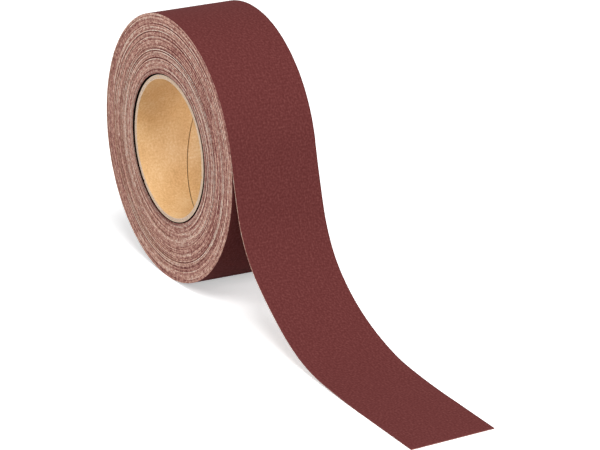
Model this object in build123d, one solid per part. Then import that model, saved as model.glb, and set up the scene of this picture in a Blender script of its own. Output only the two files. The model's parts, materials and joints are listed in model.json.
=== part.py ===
"""Roll of abrasive cloth on a spiral-wound paper core, with its free end pulled off and laid out.

Millimetres. The origin is on the core's axis at mid-width, +Y runs along the core and +Z is up.
The strip is wound grain outwards, clockwise as seen from -Y. Its free end leaves the roll on the
+X side and sweeps down to the surface that the roll stands on.
"""

import os
from math import cos, radians, sin

from build123d import *

# Strip: a woven cloth backing with a coat of resin and grain on its outer side.
strip_width = 50.0
backing_thickness = 0.35
grain_thickness = 0.20
lap_clearance = 0.045

# Winding: full turns in all, and how many of them at each side of the pressed middle stand apart.
lap_count = 53
inner_lap_count = 2
outer_lap_count = 4

# Core: plies of paperboard, each one strip wound as a helix whose edges meet in a butt seam.
core_bore_diameter = 75.0
core_recess = 0.35
core_clearance = 0.95
ply_thickness = 0.75
ply_names = ["core_liner", "core_middle_ply", "core_outer_wrap"]
seam_lead = 71.0
seam_gap = 0.3
seam_angle = 228.0
seam_stagger = 115.0

# Free end: one arc for each limp length, with headings in degrees from straight down. The first
# length is left out, because it is whatever brings the strip down to the roll's underside.
take_off_angle = 15.0
tail_turns = [4.0, 33.0, 16.0, 18.0, 4.0, 0.0]
tail_lengths = [38.0, 38.0, 38.0, 38.0, 50.0]
end_cut_skew = 4.0
flex_gap = 0.4

# Worked out from the sizes above.
strip_thickness = backing_thickness + grain_thickness
lap_pitch = strip_thickness + lap_clearance
core_bore_radius = core_bore_diameter / 2
core_radius = core_bore_radius + ply_thickness * len(ply_names)
core_length = strip_width - 2 * core_recess
first_lap_radius = core_radius + core_clearance
last_lap_radius = first_lap_radius + lap_count * lap_pitch
strip_middle_radius = last_lap_radius + strip_thickness / 2
lap_plane = Plane.XZ


def across_strip(face):
    """The solid of a face drawn in the plane of the laps, as wide as the strip."""
    return extrude(lap_plane * face, amount=strip_width / 2, both=True)


def half_turn(turns, offset, outwards):
    """The half circle of the winding that ends after this many turns, moved out by an offset.

    The winding is a two-centre spiral. Every half turn is a true half circle, and every second
    one has its centre half a pitch back, so that a full turn adds one pitch to the radius.
    """
    radius = first_lap_radius + turns * lap_pitch + offset
    upper_half = turns == int(turns)
    centre = 0 if upper_half else -lap_pitch / 2
    begin = 180 if upper_half else 360
    if outwards:
        return CenterArc((centre, 0), radius, begin, -180)
    return CenterArc((centre, 0), radius, begin - 180, 180)


def winding(first_turn, last_turn, offset, outwards=True):
    """The half turns between two whole numbers of turns, in the order in which they join."""
    ends = [first_turn + step / 2 for step in range(1, 2 * (last_turn - first_turn) + 1)]
    return [half_turn(end, offset, outwards) for end in (ends if outwards else reversed(ends))]


def wound_layer(first_turn, last_turn, inner, outer):
    """A layer of the wound strip, between two heights above the strip's inner face."""
    outer_side = winding(first_turn, last_turn, outer)
    inner_side = winding(first_turn, last_turn, inner, outwards=False)
    end_cut = Line(outer_side[-1] @ 1, inner_side[0] @ 0)
    start_cut = Line(inner_side[-1] @ 1, outer_side[0] @ 0)
    return Rot(0, 0, take_off_angle) * make_face([*outer_side, end_cut, *inner_side, start_cut])


def stepped_disc(first_turn, offset):
    """The area inside one turn of the winding, which steps back by a pitch where the turn closes."""
    turn = winding(first_turn, first_turn + 1, offset)
    return Rot(0, 0, take_off_angle) * make_face([*turn, Line(turn[-1] @ 1, turn[0] @ 0)])


def seam_slit(radius, angle):
    """The cut left in a ply of this radius by its butt seam, which passes mid-width at an angle."""
    height = core_length + 4
    start_angle = angle - 360 * height / 2 / seam_lead
    helix = Helix(pitch=seam_lead, height=height, radius=radius)
    seam = lap_plane * Rot(0, 0, start_angle) * Pos(0, 0, -height / 2) * helix
    start = seam @ 0
    section = Plane(origin=start, x_dir=(start.X, 0, start.Z), z_dir=seam % 0)
    return sweep(section * Rectangle(2 * ply_thickness, seam_gap), path=seam, is_frenet=True)


def core_ply(index):
    """One ply of the core, counted from the bore: a tube, slit along its seam."""
    inner = core_bore_radius + index * ply_thickness
    ring = lap_plane * (Circle(inner + ply_thickness) - Circle(inner))
    tube = extrude(ring, amount=core_length / 2, both=True)
    return tube - seam_slit(inner + ply_thickness / 2, seam_angle + index * seam_stagger)


def direction(heading):
    """The way the free end runs at a heading, in the plane of the laps."""
    return Vector(sin(radians(heading)), -cos(radians(heading)))


def outward(heading):
    """The way its grain faces there."""
    return Vector(cos(radians(heading)), sin(radians(heading)))


def mean_drop(heading, turn):
    """How far an arc falls for each millimetre of its length."""
    if turn == 0:
        return cos(radians(heading))
    return (sin(radians(heading + turn)) - sin(radians(heading))) / radians(turn)


def strip_line(point, heading, turn, length, offset):
    """The line that a height in the strip follows along one limp length of the free end."""
    if turn == 0:
        start = point + outward(heading) * offset
        return Line(start, start + direction(heading) * length)
    radius = length / radians(turn)
    return CenterArc(point + outward(heading) * radius, radius - offset, heading + 180, turn)


def free_end():
    """Start, heading, turn and length of each limp length, along the strip's middle."""
    headings = [take_off_angle + sum(tail_turns[:count]) for count in range(len(tail_turns))]
    drops = [mean_drop(heading, turn) for heading, turn in zip(headings, tail_turns)]
    lower_half = half_turn(lap_count - 0.5, strip_thickness, True)
    underside = (lap_plane * Rot(0, 0, take_off_angle) * lower_half).bounding_box().min.Z
    point = outward(take_off_angle) * strip_middle_radius
    fall = point.Y - strip_thickness / 2 - underside
    later_falls = sum(length * drop for length, drop in zip(tail_lengths, drops[1:]))
    lengths = [(fall - later_falls) / drops[0], *tail_lengths]
    stretches = []
    for heading, turn, length in zip(headings, tail_turns, lengths):
        stretches.append((point, heading, turn, length))
        point = strip_line(point, heading, turn, length, 0) @ 1
    return stretches, point


def flex_slot(point, heading):
    """The gap across the strip at a flex line, with the line through its middle."""
    return Pos(point) * Rot(0, 0, heading) * Rectangle(4 * strip_thickness, flex_gap)


def tail_layer(stretch, next_point, bottom, top):
    """A layer of one limp length, between two heights above the strip's inner face."""
    point, heading, turn, length = stretch
    upper = strip_line(point, heading, turn, length, top - strip_thickness / 2)
    lower = strip_line(point, heading, turn, length, bottom - strip_thickness / 2)
    face = make_face([upper, Line(upper @ 1, lower @ 1), lower, Line(lower @ 0, upper @ 0)])
    return face - flex_slot(point, heading) - flex_slot(next_point, heading + turn)


def end_offcut(end):
    """The wedge that a slanting cut takes off the strip's end: nothing in front, the skew behind."""
    half = strip_width / 2
    wedge = Polyline((end.X, -half), (end.X + flex_gap, -half), (end.X + flex_gap, half),
                     (end.X - end_cut_skew, half), close=True)
    return Pos(0, 0, end.Y) * extrude(make_face(wedge), amount=strip_thickness, both=True)


os.makedirs("parts", exist_ok=True)

for index, name in enumerate(ply_names):
    export_step(core_ply(index), f"parts/{name}.step")

first_outer_turn = lap_count - outer_lap_count
layers = {"backing": (0, backing_thickness), "grain": (backing_thickness, strip_thickness)}
stretches, strip_end = free_end()
take_off_slot = flex_slot(*stretches[0][:2])

inner_laps = across_strip(wound_layer(0, inner_lap_count, 0, strip_thickness))
export_step(inner_laps, "parts/inner_laps.step")

packed_face = stepped_disc(first_outer_turn, 0) - stepped_disc(inner_lap_count - 1, strip_thickness)
export_step(across_strip(packed_face), "parts/packed_laps.step")

outer_laps = across_strip(wound_layer(first_outer_turn, lap_count - 1, 0, strip_thickness))
export_step(outer_laps, "parts/outer_laps.step")

for layer, (bottom, top) in layers.items():
    last_lap = wound_layer(lap_count - 1, lap_count, bottom, top) - take_off_slot
    export_step(across_strip(last_lap), f"parts/last_lap_{layer}.step")

hinge_points = [stretch[0] for stretch in stretches[1:]]
for number, stretch in enumerate(stretches, start=1):
    last = number == len(stretches)
    next_point = hinge_points[number - 1] if not last else strip_end + direction(90) * strip_width
    for layer, (bottom, top) in layers.items():
        solid = across_strip(tail_layer(stretch, next_point, bottom, top))
        if last:
            solid -= end_offcut(strip_end)
        export_step(solid, f"parts/tail_{layer}_{number}.step")
    point, heading, turn, length = stretch
    print(f"tail {number}: hinge at x {point.X:.4f}, z {point.Y:.4f}, length {length:.3f}")
print(f"strip ends at x {strip_end.X:.3f}, z {strip_end.Y:.4f}")
print(f"outside radius about {strip_middle_radius:.2f}")
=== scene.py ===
"""A roll of abrasive cloth with its free end pulled off, on a spiral-wound paper core."""

import json
from bisect import bisect_right
from math import atan2, copysign, cos, hypot, pi, radians, sin

import bpy
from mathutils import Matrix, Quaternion, Vector, noise


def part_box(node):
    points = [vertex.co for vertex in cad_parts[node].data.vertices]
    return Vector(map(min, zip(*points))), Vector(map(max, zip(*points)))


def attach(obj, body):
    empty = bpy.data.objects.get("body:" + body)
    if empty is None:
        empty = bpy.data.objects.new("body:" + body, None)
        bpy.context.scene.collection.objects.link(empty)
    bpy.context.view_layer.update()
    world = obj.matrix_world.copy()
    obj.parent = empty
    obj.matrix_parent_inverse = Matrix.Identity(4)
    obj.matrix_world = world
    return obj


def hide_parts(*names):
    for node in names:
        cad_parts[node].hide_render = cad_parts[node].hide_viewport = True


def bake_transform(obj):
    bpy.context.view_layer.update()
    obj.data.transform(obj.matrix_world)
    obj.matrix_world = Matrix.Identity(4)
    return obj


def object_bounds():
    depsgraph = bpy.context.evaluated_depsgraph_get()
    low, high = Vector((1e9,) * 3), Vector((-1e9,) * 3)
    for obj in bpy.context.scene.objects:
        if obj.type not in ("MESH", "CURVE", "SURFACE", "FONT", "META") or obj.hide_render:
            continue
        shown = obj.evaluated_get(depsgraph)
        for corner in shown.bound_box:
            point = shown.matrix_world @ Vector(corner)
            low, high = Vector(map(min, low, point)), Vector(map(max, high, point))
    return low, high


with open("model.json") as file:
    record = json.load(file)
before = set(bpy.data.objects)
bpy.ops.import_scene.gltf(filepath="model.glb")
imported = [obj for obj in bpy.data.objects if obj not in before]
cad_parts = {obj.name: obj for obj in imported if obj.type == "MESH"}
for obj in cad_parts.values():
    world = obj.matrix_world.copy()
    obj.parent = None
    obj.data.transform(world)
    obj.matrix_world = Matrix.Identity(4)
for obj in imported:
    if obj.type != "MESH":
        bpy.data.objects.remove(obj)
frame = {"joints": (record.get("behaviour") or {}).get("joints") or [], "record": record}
cad_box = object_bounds()


# ---------------------------------------------------------------- The strip
# One strip of abrasive cloth, some 19 m long: woven cotton stiffened with resin, with a coat of
# grain glued to its outer side. It is slit from a wide sheet, so its edges are bare cut yarns.
# Each piece of it is cut flat here, and then laid along the line that the strip follows.

MM = 0.001
low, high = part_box("packed_laps")
strip_width = high[1] - low[1]
low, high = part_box("tail_grain_6")
strip_top = high[2]
strip_end = high[0]
low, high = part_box("tail_backing_6")
strip_thickness = strip_top - low[2]
lap_gap = 0.045 * MM
lap_pitch = strip_thickness + lap_gap
laps = 53
crease = radians(35)

flex_lines = [Vector(joint["pos_m"]) for joint in frame["joints"] if "flex" in joint["name"]]
take_off = atan2(flex_lines[0].z, flex_lines[0].x)
last_lap_radius = (flex_lines[0] - Vector((0, flex_lines[0].y, 0))).length - strip_thickness / 2


def outward(heading):
    """The way the grain faces where the strip runs at a heading, counted from straight down."""
    return Vector((cos(heading), 0, sin(heading)))


def free_end_arcs():
    """Start, heading, turn and length of each arc of the free end, from one flex line to the next."""
    arcs = []
    heading = take_off
    for line, following in zip(flex_lines, flex_lines[1:]):
        chord = following - line
        turn = 2 * (atan2(chord.x, -chord.z) - heading)
        arcs.append((line, heading, turn, chord.length * (turn / 2) / sin(turn / 2)))
        heading += turn
    arcs.append((flex_lines[-1], pi / 2, 0, strip_end - flex_lines[-1].x))
    return arcs


free_end = free_end_arcs()
free_end_starts = [sum(arc[3] for arc in free_end[:count]) for count in range(len(free_end))]
free_end_length = free_end_starts[-1] + free_end[-1][3]

half_turn_radii = [last_lap_radius - step * lap_pitch / 2 for step in range(2 * laps)]
half_turn_starts = [0.0]
for half_turn_radius in half_turn_radii:
    half_turn_starts.append(half_turn_starts[-1] + pi * (half_turn_radius + strip_thickness / 2))
wound_length = half_turn_starts[-1]
last_lap_length = half_turn_starts[2]
core_side_radius = half_turn_radii[-1]


def strip_line(along):
    """The strip's inner face and outward way, at a distance past the line where it leaves the roll.

    Before that line the distance is negative, and the strip is wound as a two-centre spiral.
    """
    if along < 0:
        step = min(bisect_right(half_turn_starts, -along) - 1, 2 * laps - 1)
        radius = half_turn_radii[step]
        centre = Vector((-lap_pitch / 2 if step % 2 else 0, 0, 0))
        angle = pi * step + (-along - half_turn_starts[step]) / (radius + strip_thickness / 2)
        out = outward(angle + take_off)
        return Quaternion((0, -1, 0), take_off) @ centre + out * radius, out
    step = max(bisect_right(free_end_starts, along) - 1, 0)
    start, heading, turn, length = free_end[step]
    past = along - free_end_starts[step]
    out = outward(heading + turn * past / length)
    if turn:
        middle = start + (outward(heading) - out) * (length / turn)
    else:
        middle = start + Vector((past, 0, 0))
    return middle - out * strip_thickness / 2, out


def flat_strip(name, start, end, steps, widths, finishes):
    """A flat length of the strip with its inner face at height 0, x along it and y across it."""
    bpy.ops.object.select_all(action="DESELECT")
    middle = ((start + end) / 2, 0, strip_thickness)
    bpy.ops.mesh.primitive_grid_add(x_subdivisions=steps, y_subdivisions=widths, size=1, location=middle)
    strip = bpy.context.object
    strip.name = strip.data.name = name
    strip.scale = (end - start, strip_width, 1)
    bpy.ops.object.transform_apply(location=True, rotation=False, scale=True)
    mesh = strip.data
    for loop in mesh.loops:
        place = mesh.vertices[loop.vertex_index].co
        mesh.uv_layers[0].data[loop.index].uv = (place.x, place.y)
    for finish in finishes:
        mesh.materials.append(finish)
    wall = strip.modifiers.new("thickness", "SOLIDIFY")
    wall.thickness = strip_thickness
    wall.offset = -1
    wall.material_offset = 1
    wall.material_offset_rim = 2
    bpy.ops.object.modifier_apply(modifier=wall.name)
    height = mesh.attributes.new("height", "FLOAT", "POINT")
    mesh.attributes.new("proud", "FLOAT", "POINT")
    for vertex in mesh.vertices:
        height.data[vertex.index].value = vertex.co.z / strip_thickness
    return strip


def lay(strip, shift):
    """Lays a flat length along the strip's line. shift gives how far each point stands off it."""
    proud = strip.data.attributes["proud"].data
    for vertex in strip.data.vertices:
        along, across, height = vertex.co
        inner, out = strip_line(along)
        off, aside = shift(along, across, out)
        place = inner + out * (height + off)
        vertex.co = (place.x, across + aside, place.z)
        proud[vertex.index].value = aside * copysign(1, across) / MM
    bpy.ops.object.select_all(action="DESELECT")
    strip.select_set(True)
    bpy.context.view_layer.objects.active = strip
    bpy.ops.object.mode_set(mode="EDIT")
    bpy.ops.mesh.select_all(action="SELECT")
    bpy.ops.mesh.normals_make_consistent(inside=False)
    bpy.ops.object.mode_set(mode="OBJECT")
    bpy.ops.object.shade_smooth_by_angle(angle=crease)


def linear(code):
    """A colour written as sRGB hex, as the linear values that a shader takes."""
    parts = [int(code[place:place + 2], 16) / 255 for place in (0, 2, 4)]
    return [part / 12.92 if part <= 0.04045 else ((part + 0.055) / 1.055) ** 2.4 for part in parts] + [1]


def add(tree, kind, settings):
    """A node with its settings: a socket is linked, and anything else is set on an input or the node."""
    node = tree.nodes.new(kind)
    for key, value in settings.items():
        if isinstance(value, bpy.types.NodeSocket):
            tree.links.new(value, node.inputs[key])
        elif isinstance(key, str) and hasattr(node, key):
            setattr(node, key, value)
        else:
            node.inputs[key].default_value = value
    return node


def new_finish(name):
    """An empty material with its shader, ready for its colour and bump."""
    finish = bpy.data.materials.new(name)
    finish.use_nodes = True
    tree = finish.node_tree
    return finish, tree, tree.nodes["Principled BSDF"]


def ramp(tree, source, stops):
    """A colour ramp over a value, from pairs of place and sRGB hex."""
    node = tree.nodes.new("ShaderNodeValToRGB")
    while len(node.color_ramp.elements) < len(stops):
        node.color_ramp.elements.new(0.5)
    for element, (place, code) in zip(node.color_ramp.elements, stops):
        element.position = place
        element.color = linear(code)
    tree.links.new(source, node.inputs[0])
    return node.outputs["Color"]


def laid_on(tree, base, value, weight):
    """A tone with another value added to it, by its weight."""
    settings = {"operation": "MULTIPLY_ADD", 0: value, 1: weight, 2: base}
    return add(tree, "ShaderNodeMath", settings).outputs[0]


def emboss(tree, shader, height, strength, depth):
    """Gives a finish its fine relief."""
    bump = add(tree, "ShaderNodeBump", {"Height": height, "Strength": strength, "Distance": depth})
    tree.links.new(bump.outputs["Normal"], shader.inputs["Normal"])


# Aluminium oxide in resin, shaken onto a cloth in a strong field: a dry, dark maroon surface. The
# grain is about 0.15 mm and the yarns under it 0.5 mm apart. Both are drawn coarser than that, so
# that they show as a mottle with a faint cross-hatch.
grain_size = 1.2 * MM
yarn_spacing = 1.3 * MM
cloud_size = 14 * MM
wave_unit = 2 * pi / 20  # the scale at which a wave texture has one band to the metre
oxide_coat, tree, shader = new_finish("aluminium_oxide_coat")
surface = add(tree, "ShaderNodeUVMap", {}).outputs["UV"]
grit = {"Vector": surface, "Scale": 1 / grain_size, "Detail": 1, "Roughness": 0.35}
grit = add(tree, "ShaderNodeTexNoise", grit).outputs["Fac"]
cloud = {"Vector": surface, "Scale": 1 / cloud_size, "Detail": 2}
cloud = add(tree, "ShaderNodeTexNoise", cloud).outputs["Fac"]
tone = grit
for way in ("X", "Y"):
    yarns = {"Vector": surface, "bands_direction": way, "Scale": wave_unit / yarn_spacing,
             "Distortion": 3, "Detail": 2}
    tone = laid_on(tree, tone, add(tree, "ShaderNodeTexWave", yarns).outputs["Fac"], 0.05)
tone = laid_on(tree, tone, cloud, 0.1)
colour = ramp(tree, tone, [(0.4, "592928"), (0.55, "5e2d2c"), (0.7, "643231"), (0.85, "6b3937")])
tree.links.new(colour, shader.inputs["Base Color"])
emboss(tree, shader, grit, 0.15, 0.1 * MM)
shader.inputs["Roughness"].default_value = 0.9
shader.inputs["Specular IOR Level"].default_value = 0.08

# The back of the cloth: cotton twill filled with a tan resin, which dulls the weave to a fine rib.
rib_spacing = 0.9 * MM
stain_size = 7 * MM
resin_cloth, tree, shader = new_finish("resin_filled_cotton")
surface = add(tree, "ShaderNodeUVMap", {}).outputs["UV"]
rib = {"Vector": surface, "bands_direction": "DIAGONAL", "Scale": wave_unit / rib_spacing,
       "Distortion": 1, "Detail": 2}
rib = add(tree, "ShaderNodeTexWave", rib).outputs["Fac"]
stain = {"Vector": surface, "Scale": 1 / stain_size, "Detail": 5, "Roughness": 0.65}
stain = add(tree, "ShaderNodeTexNoise", stain).outputs["Fac"]
tone = laid_on(tree, stain, rib, 0.25)
colour = ramp(tree, tone, [(0.35, "8f6450"), (0.62, "ab7f68"), (0.9, "c39a80")])
tree.links.new(colour, shader.inputs["Base Color"])
emboss(tree, shader, rib, 0.4, 0.1 * MM)
shader.inputs["Roughness"].default_value = 0.75

# The slit edge: pale cotton yarn ends under the dark line of the coat. Painted light and shade: a
# lap that stands proud of its neighbours is painted paler, for the light it catches, and one that lies
# deep is painted darker and redder, for its shade. The laps next to the core are painted darker still,
# for the shade of the gap at the core, and so is the lower part of the free end, for the shade along
# its edges near the table.
ring_length, yarn_length, tuft_size = 60 * MM, 3 * MM, 1.7 * MM
coat_line = (0.60, 0.72)  # where the coat's dark line starts and is full, as a share of the thickness
# how many laps by the core, and which part of the free end, get painted shade on their edges, and how
# strongly
shaded_laps = 7
core_shading, end_shading = 0.4, 0.8
unshaded_until, shaded_from = 70 * MM, 120 * MM
slit_edge, tree, shader = new_finish("slit_cotton_edge")
surface = add(tree, "ShaderNodeUVMap", {}).outputs["UV"]
height = add(tree, "ShaderNodeAttribute", {"attribute_name": "height"}).outputs["Fac"]
proud = add(tree, "ShaderNodeAttribute", {"attribute_name": "proud"}).outputs["Fac"]
place = add(tree, "ShaderNodeTexCoord", {}).outputs["Object"]
along = add(tree, "ShaderNodeSeparateXYZ", {0: surface}).outputs["X"]
ring = {"noise_dimensions": "1D", "W": along, "Scale": 1 / ring_length, "Detail": 2, "Roughness": 0.5}
ring = add(tree, "ShaderNodeTexNoise", ring).outputs["Fac"]
yarn = {"noise_dimensions": "1D", "W": along, "Scale": 1 / yarn_length, "Detail": 2, "Roughness": 0.6}
yarn = add(tree, "ShaderNodeTexNoise", yarn).outputs["Fac"]
tuft = {"Vector": place, "Scale": 1 / tuft_size, "Detail": 3, "Roughness": 0.75}
tuft = add(tree, "ShaderNodeTexNoise", tuft).outputs["Fac"]
# painted light and shade: laps that stand proud are painted paler, deep ones darker
tone = laid_on(tree, -1.25, proud, 1.3)
tone = laid_on(tree, tone, ring, 1.2)
tone = laid_on(tree, tone, yarn, 0.8)
tone = laid_on(tree, tone, tuft, 1.6)
cotton = ramp(tree, tone, [(0.1, "7a3c37"), (0.4, "b67b6e"), (0.7, "e8baa5"), (1.0, "ffeddb")])
coat_edge = ramp(tree, tone, [(0.2, "552b27"), (0.9, "9a675e")])
step = {"Value": height, "From Min": coat_line[0], "From Max": coat_line[1]}
step = add(tree, "ShaderNodeMapRange", step).outputs[0]
colour = add(tree, "ShaderNodeMix", {"data_type": "RGBA"})
tree.links.new(step, colour.inputs[0])
tree.links.new(cotton, colour.inputs[6])
tree.links.new(coat_edge, colour.inputs[7])
# painted shade of the gap at the core, over the edges of the innermost laps
core_shade = {"Value": along, "From Min": -wound_length, "To Min": core_shading, "To Max": 0,
             "From Max": -wound_length + shaded_laps * 2 * pi * core_side_radius}
core_shade = add(tree, "ShaderNodeMapRange", core_shade).outputs[0]
# painted shade along the free end's edges, from 70 mm past the line where it leaves the roll
end_shade = {"Value": along, "From Min": unshaded_until, "From Max": shaded_from, "To Max": end_shading}
end_shade = add(tree, "ShaderNodeMapRange", end_shade).outputs[0]
edge_shade = add(tree, "ShaderNodeMath", {"operation": "ADD", 0: core_shade, 1: end_shade})
# the edge is mixed towards a dark red by the painted shade
shaded_edge = add(tree, "ShaderNodeMix", {"data_type": "RGBA"})
tree.links.new(edge_shade.outputs[0], shaded_edge.inputs[0])
tree.links.new(colour.outputs[2], shaded_edge.inputs[6])
shaded_edge.inputs[7].default_value = linear("7d443f")
tree.links.new(shaded_edge.outputs[2], shader.inputs["Base Color"])
emboss(tree, shader, tuft, 0.7, 0.3 * MM)
shader.inputs["Roughness"].default_value = 0.9

# Near black, as painted shade: it stands for the shade in the gap between the core and the laps and
# in the core's butt seams. It lies between the plies of the core, over the outside of the core and on
# the back of the first laps, and shows only in the gap and in a seam.
painted_gap_shade, tree, shader = new_finish("painted_gap_shade")
shader.inputs["Base Color"].default_value = linear("1a0f0a")
shader.inputs["Roughness"].default_value = 0.9
shader.inputs["Specular IOR Level"].default_value = 0.05

strip_finishes = [oxide_coat, resin_cloth, slit_edge]


# ---------------------------------------------------------------- Wound laps
# All the laps but the last, wound tight from the core outwards. The winding wanders, so its laps
# stand up to half a millimetre in and out of the roll's two faces. The core lies loose in it, and
# the innermost laps have slipped outwards at its sides, which leaves a gap there. The back of the laps
# next to the core is painted near black, as painted shade in that gap.

lap_middle_length = 2 * pi * (core_side_radius + last_lap_radius) / 2
lap_wander = 0.36 * MM
wander_waves = [(0.4, 0.8, 3.7), (1.1, 1.2, 9.1)]  # waves to a turn, weight, and place in the noise
ripple_length, ripple_weight, ripple_place = 70 * MM, 0.2, 5.3
fray_length, fray_place, edge_fray = 4 * MM, 2.3, 0.06 * MM
edges_apart = 900  # keeps the fray of the strip's two edges from being alike
side_slack, side_lean, rise_slack = 0.6 * MM, 0.35, -0.9 * MM
slack_laps = 19
# how far out from the core the back of the laps is painted near black, as shade in the gap
shaded_depth = 1.2 * MM
wound_steps, last_lap_steps, steps_across = 7600, 260, 24


def wander(along, across, out):
    """How far a point of the winding stands off its line, outwards and along the core."""
    turns = along / lap_middle_length
    run = sum(noise.noise((turns * pace, place, 0)) * weight for pace, weight, place in wander_waves)
    ripple = noise.noise((along / ripple_length, ripple_place, 0)) * ripple_weight
    fray = noise.noise((along / fray_length, across * edges_apart, fray_place))
    slack = side_slack * out.x * (out.x + side_lean) + rise_slack * out.z ** 2
    slack *= max(0, 1 - (wound_length + along) / (slack_laps * lap_middle_length))
    return slack, lap_wander * (run + ripple) + edge_fray * fray


wound_laps = flat_strip("wound_laps", -wound_length, -last_lap_length, wound_steps, 1, strip_finishes)
lay(wound_laps, wander)
wound_laps.data.materials.append(painted_gap_shade)
# painted shade: the back of the laps next to the core gets the near-black finish
for face in wound_laps.data.polygons:
    stand_off = hypot(face.center.x, face.center.z) - core_side_radius
    if face.material_index == 1 and stand_off < shaded_depth:
        face.material_index = 3
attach(wound_laps, "roll")
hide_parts("inner_laps", "packed_laps", "outer_laps")


# ---------------------------------------------------------------- Last lap
# The outermost turn of the same strip, whose grain is the roll's outside.

last_lap = flat_strip("last_lap", -last_lap_length, 0, last_lap_steps, steps_across, strip_finishes)
lay(last_lap, wander)
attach(last_lap, "roll")
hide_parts("last_lap_backing", "last_lap_grain")


# ---------------------------------------------------------------- Free end
# What has been pulled off the roll: it hangs down from the roll's side, twists a little as it
# sweeps out, and lies flat up to a cut made slightly out of square.

twist_start, twist_end = 30 * MM, 130 * MM
twist_rise = 1.6 * MM
cut_slant = 4 * MM
cut_reach = 12 * MM


def sweep_out(along, across, out):
    """How far the free end stands off its line, its front edge outwards and its rear one inwards."""
    aside = across / (strip_width / 2)
    twist = 0
    if twist_start < along < twist_end:
        twist = -twist_rise * aside * sin(pi * (along - twist_start) / (twist_end - twist_start)) ** 2
    return twist, 0


flex_middles = [start + arc[3] / 2 for start, arc in zip(free_end_starts, free_end)]
# How far each bend reaches before and past its flex line. The last length lies on the table, so
# its reach before the line is short: its bend would dip into the table otherwise. Below, the strip's
# line is looked up at these reaches, and nothing uses what it gives.
bend_reaches = [(0, flex_middles[0]), *[(16 * MM, 16 * MM)] * (len(free_end) - 2), (6 * MM, 14 * MM)]
cuts = [0, *flex_middles[:-1], free_end_length]
for number, (start, end) in enumerate(zip(cuts, cuts[1:]), start=1):
    steps = round((end - start) / MM)
    length = flat_strip(f"free_end_{number}", start, end, steps, steps_across, strip_finishes)
    if number == len(free_end):
        for vertex in length.data.vertices:
            reach = max(0, 1 - (end - vertex.co.x) / cut_reach)
            vertex.co.x -= cut_slant * reach * (vertex.co.y / strip_width + 0.5)
    lay(length, sweep_out)
    flex_line = free_end_starts[number - 1]
    reach_before, reach_past = bend_reaches[number - 1]
    strip_line(flex_line - reach_before)[0]
    strip_line(flex_line + reach_past)[0]
    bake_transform(length)
    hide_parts(f"tail_backing_{number}", f"tail_grain_{number}")


# ---------------------------------------------------------------- Core
# Three plies of kraft paperboard, each one strip wound as a helix with its edges butted, and
# pasted one over another. The tube is sawn to length, which leaves pale, slightly furry rims.

seam_lead = 71 * MM
seam_gap = 0.42 * MM
seam_angle = radians(228)
seam_stagger = radians(115)
rim_round = 0.12 * MM
steps_round, steps_along = 200, 60
hair = 0.001  # a corner of the slit may lie this far, in radians, before the start of the turn

# Unbleached kraft paper, calendered on a machine: a matt golden brown with fine fibres that run
# mostly along each ply, and faint clouds where the pulp lay thicker.
fibre_size, pulp_cloud_size = 1.2 * MM, 14 * MM
kraft_paper, tree, shader = new_finish("kraft_paper")
surface = add(tree, "ShaderNodeUVMap", {}).outputs["UV"]
fibre = {"Vector": surface, "Scale": 1 / fibre_size, "Detail": 3, "Roughness": 0.6}
fibre = add(tree, "ShaderNodeTexNoise", fibre).outputs["Fac"]
cloud = {"Vector": surface, "Scale": 1 / pulp_cloud_size, "Detail": 2}
cloud = add(tree, "ShaderNodeTexNoise", cloud).outputs["Fac"]
tone = add(tree, "ShaderNodeMix", {0: 0.4, 2: fibre, 3: cloud}).outputs[0]
colour = ramp(tree, tone, [(0.25, "c79359"), (0.5, "e3b982"), (0.75, "f5d9ab")])
tree.links.new(colour, shader.inputs["Base Color"])
emboss(tree, shader, fibre, 0.3, 0.06 * MM)
shader.inputs["Roughness"].default_value = 0.6

# The sawn end of the plies: paler than the face, because the fibres stand torn and open.
fuzz_size = 0.7 * MM
sawn_board, tree, shader = new_finish("sawn_paperboard")
place = add(tree, "ShaderNodeTexCoord", {}).outputs["Object"]
fuzz = {"Vector": place, "Scale": 1 / fuzz_size, "Detail": 4, "Roughness": 0.7}
fuzz = add(tree, "ShaderNodeTexNoise", fuzz).outputs["Fac"]
colour = ramp(tree, fuzz, [(0.3, "c8a88c"), (0.55, "e4cab2"), (0.8, "f4e5d6")])
tree.links.new(colour, shader.inputs["Base Color"])
emboss(tree, shader, fuzz, 0.6, 0.2 * MM)
shader.inputs["Roughness"].default_value = 0.9

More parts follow.
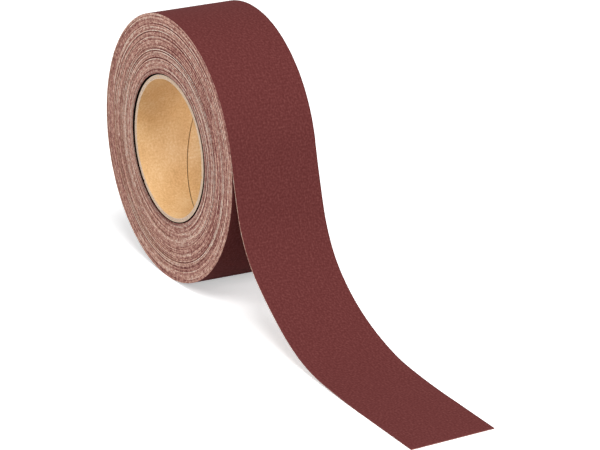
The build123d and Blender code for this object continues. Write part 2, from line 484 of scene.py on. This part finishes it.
bore_radius = frame["record"]["mounts"][0]["dims"]["r_mm"] * MM
for index, node in enumerate(["core_liner", "core_middle_ply", "core_outer_wrap"]):
    low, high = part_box(node)
    length = high[1] - low[1]
    inner = bore_radius if index == 0 else outer
    outer = high[2]
    middle = (inner + outer) / 2
    bpy.ops.object.select_all(action="DESELECT")
    bpy.ops.mesh.primitive_grid_add(x_subdivisions=1, y_subdivisions=steps_along, size=1,
                                    location=(middle, 0, 0))
    ply = bpy.context.object
    ply.name = ply.data.name = f"{node}_paper"
    ply.scale = (outer - inner, length, 1)
    bpy.ops.object.transform_apply(location=True, rotation=False, scale=True)
    bpy.ops.object.mode_set(mode="EDIT")
    bpy.ops.mesh.select_all(action="SELECT")
    opening = seam_gap * hypot(2 * pi * middle, seam_lead) / seam_lead / middle
    bpy.ops.mesh.spin(steps=steps_round, angle=2 * pi - opening, center=(0, 0, 0), axis=(0, -1, 0))
    bpy.ops.mesh.select_all(action="SELECT")
    bpy.ops.mesh.normals_make_consistent(inside=False)
    bpy.ops.object.mode_set(mode="OBJECT")
    mesh = ply.data
    for loop in mesh.loops:
        place = mesh.vertices[loop.vertex_index].co
        turned = (atan2(place.z, place.x) + hair) % (2 * pi) - hair
        mesh.uv_layers[0].data[loop.index].uv = ((turned - 2 * pi * place.y / seam_lead) * middle, place.y)
    for finish in (kraft_paper, sawn_board, painted_gap_shade):
        mesh.materials.append(finish)
    for face in mesh.polygons:
        outwards = (face.normal.x * face.center.x + face.normal.z * face.center.z) / middle
        if abs(face.normal.y) > 0.5:
            face.material_index = 1
        # painted shade: the inner faces of the outer two plies and the outside of the core get the
        # near-black finish
        elif index > 0 and outwards < -0.5 or index == 2 and outwards > 0.5:
            face.material_index = 2
    helix = ply.modifiers.new("helix", "SIMPLE_DEFORM")
    helix.deform_method = "TWIST"
    helix.deform_axis = "Y"
    helix.angle = 2 * pi * length / seam_lead
    bpy.ops.object.modifier_apply(modifier=helix.name)
    soft_edges = ply.modifiers.new("soft edges", "BEVEL")
    soft_edges.width = rim_round
    soft_edges.segments = 2
    soft_edges.limit_method = "ANGLE"
    soft_edges.angle_limit = radians(50)
    bpy.ops.object.modifier_apply(modifier=soft_edges.name)
    ply.rotation_euler = (0, -(seam_angle + index * seam_stagger), 0)
    bpy.ops.object.transform_apply(location=False, rotation=True, scale=False)
    bpy.ops.object.shade_smooth_by_angle(angle=crease)
    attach(ply, "core")
    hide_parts(node)


# ---------------------------------------------------------------- Studio
# A white table under three soft lights: a key light high over the free end, a weaker one in
# front of the roll, and one behind it.

floor_level = cad_box[0][2]
floor_size = 12
table_bounce, table_seen, table_glow = 0.6, 0.98, 0.45
room_light, room_seen = 0.17, 1.0


def looked_at(tree):
    """Two values that are 1 where the camera looks, the second in a reflection too, and 0 elsewhere."""
    path = add(tree, "ShaderNodeLightPath", {})
    straight = path.outputs["Is Camera Ray"]
    either = {"operation": "MAXIMUM", 0: straight, 1: path.outputs["Is Glossy Ray"]}
    return straight, add(tree, "ShaderNodeMath", either).outputs[0]


# A white laminate table top, lit a little from within where the camera sees it, so that it comes
# out white and still takes the part's shadow.
table_white, tree, shader = new_finish("white_table")
straight, seen = looked_at(tree)
white = add(tree, "ShaderNodeMapRange", {"Value": seen, "To Min": table_bounce, "To Max": table_seen})
tree.links.new(white.outputs[0], shader.inputs["Base Color"])
shader.inputs["Roughness"].default_value = 0.9
shader.inputs["Specular IOR Level"].default_value = 0.1
lift = add(tree, "ShaderNodeMath", {"operation": "MULTIPLY", 0: straight, 1: table_glow})
glow = add(tree, "ShaderNodeEmission", {"Color": linear("ffffff"), "Strength": lift.outputs[0]})
both = add(tree, "ShaderNodeAddShader", {0: shader.outputs[0], 1: glow.outputs[0]})
tree.links.new(both.outputs[0], tree.nodes["Material Output"].inputs["Surface"])
bpy.ops.object.select_all(action="DESELECT")
bpy.ops.mesh.primitive_plane_add(size=floor_size, location=(0, 0, floor_level))
table = bpy.context.object
table.name = table.data.name = "table"
table.data.materials.append(table_white)

world = bpy.data.worlds.new("studio")
bpy.context.scene.world = world
world.use_nodes = True
tree = world.node_tree
background = tree.nodes["Background"]
background.inputs["Color"].default_value = linear("ffffff")
straight, seen = looked_at(tree)
strength = add(tree, "ShaderNodeMapRange", {"Value": seen, "To Min": room_light, "To Max": room_seen})
tree.links.new(strength.outputs[0], background.inputs["Strength"])

for name, place, size, power in [
    ("key_softbox", (1.05, -0.4, 1.9), 1.0, 37),
    ("front_softbox", (-0.6, -1.5, 0.9), 1.0, 14),
    ("rear_softbox", (1.3, 0.95, 0.7), 0.8, 16),
]:
    lamp = bpy.data.lights.new(name, "AREA")
    lamp.shape = "SQUARE"
    lamp.size = size
    lamp.energy = power
    softbox = bpy.data.objects.new(name, lamp)
    softbox.location = place
    softbox.rotation_euler = Vector(place).to_track_quat("Z", "Y").to_euler()
    bpy.context.collection.objects.link(softbox)


# ---------------------------------------------------------------- Camera
# A long lens, well back and a little above the roll, looking along it from the free end's side.

camera_aim = Vector((99.94, 0, -13.50)) * MM
camera_turn, camera_rise, camera_tilt = radians(60.675), radians(20.794), radians(1.032)
camera_distance = 2.2099
away = Vector((sin(camera_turn) * cos(camera_rise), -cos(camera_turn) * cos(camera_rise), sin(camera_rise)))
lens = bpy.data.cameras.new("camera")
lens.sensor_width = 36
lens.lens = 257.2
camera = bpy.data.objects.new("camera", lens)
camera.location = camera_aim + away * camera_distance
camera.rotation_mode = "QUATERNION"
camera.rotation_quaternion = away.to_track_quat("Z", "Y") @ Quaternion((0, 0, 1), camera_tilt)
bpy.context.collection.objects.link(camera)
bpy.context.scene.camera = camera
bpy.context.scene.view_settings.view_transform = "Standard"
